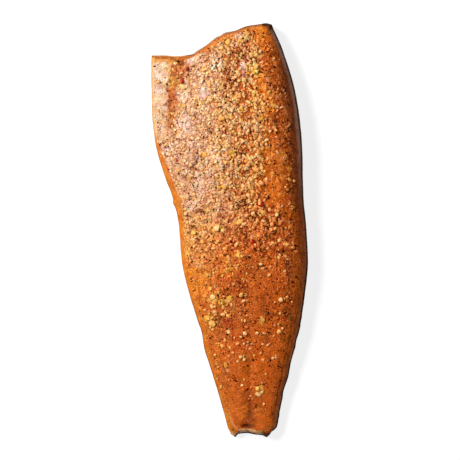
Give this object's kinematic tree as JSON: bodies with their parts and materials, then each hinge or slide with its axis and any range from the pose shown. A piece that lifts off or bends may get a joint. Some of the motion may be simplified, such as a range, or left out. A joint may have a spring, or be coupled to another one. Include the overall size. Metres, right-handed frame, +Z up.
{
  "type": "hot-smoked salmon fillet",
  "caption": "Whole side of hot-smoked salmon, skin down, flesh up, with a glazed crust of granulated spices and seeds, cut square at the head end and tapering to the tail cut.",
  "frame": {"origin": "middle of the plan outline's box, on the plane that the skin side lies on", "axes": "+Z up, out of the seasoned flesh side; +Y along the fillet from the tail cut to the head cut; +X across it, from the thin belly edge to the thick back"},
  "size_m": [0.1662, 0.4406, 0.0328],
  "materials": {
    "smoked_flesh": "satin",
    "skin": "satin",
    "seeds": "satin",
    "dried_flakes": "satin",
    "pepper": "matte",
    "red_flakes": "satin",
    "herbs": "matte"
  },
  "bodies": {
    "root": {"fillet": "smoked_flesh"}
  },
  "joints": []
}
